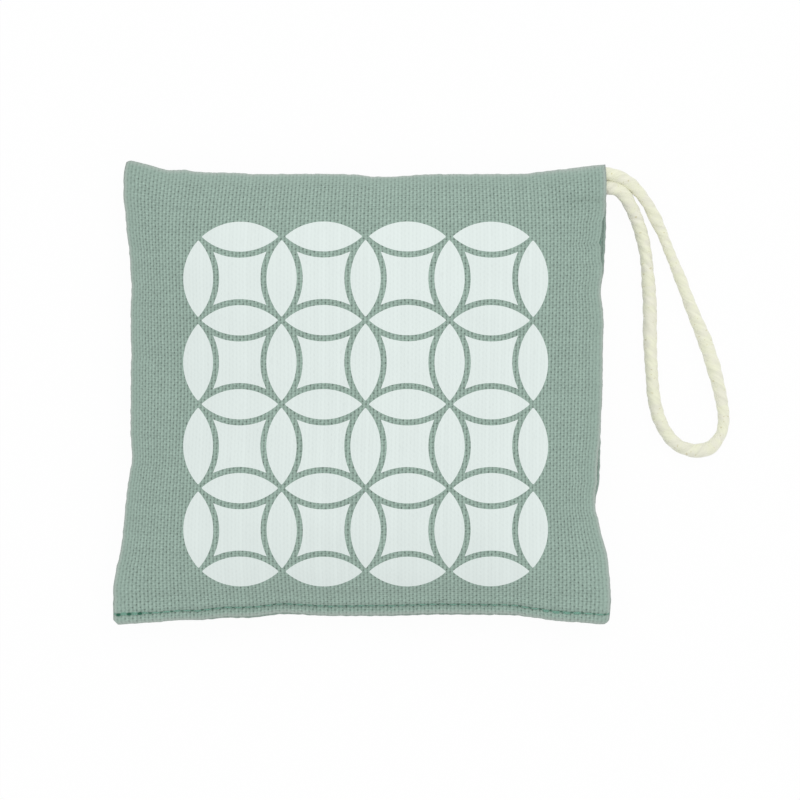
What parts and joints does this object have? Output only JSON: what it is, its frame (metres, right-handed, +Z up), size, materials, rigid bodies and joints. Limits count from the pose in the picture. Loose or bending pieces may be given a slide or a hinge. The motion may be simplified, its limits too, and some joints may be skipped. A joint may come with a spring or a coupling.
{
  "type": "lavender sachet",
  "caption": "Square canvas sachet stuffed with dried lavender, with turned seams, a stitched lower edge and a cotton cord loop at one top corner, for scenting drawers and wardrobes.",
  "frame": {"origin": "on the surface that the sachet lies on, below the middle of the pouch", "axes": "+Z up out of the printed front, +X to the side that carries the cord loop, +Y to the top edge"},
  "size_m": [0.1399, 0.1054, 0.02],
  "materials": {
    "canvas": "plain-weave cotton canvas, sage green, matt",
    "lavender": "dried buds, loose",
    "sewing_thread": "dark green spun thread",
    "cotton_cord": "natural twisted cotton, cream",
    "print_ink": "white screen print on the front, matt"
  },
  "bodies": {
    "pouch": {"front_panel": "canvas", "back_panel": "canvas", "lavender_fill": "lavender", "side_seam_thread": "sewing_thread", "closing_needle_thread": "sewing_thread", "closing_bobbin_thread": "sewing_thread", "cord_tack_thread": "sewing_thread", "cord_end_upper": "cotton_cord", "cord_end_lower": "cotton_cord"},
    "loop": {"hanging_loop": "cotton_cord"}
  },
  "joints": [
    {"name": "loop_swing", "type": "hinge", "parent": "pouch", "child": "loop", "pos_m": [0.0585, 0.0469, 0.006], "axis": [0, 0, 1], "range_deg": [-10, 115], "deforming": ["cord_end_upper", "cord_end_lower"]}
  ]
}
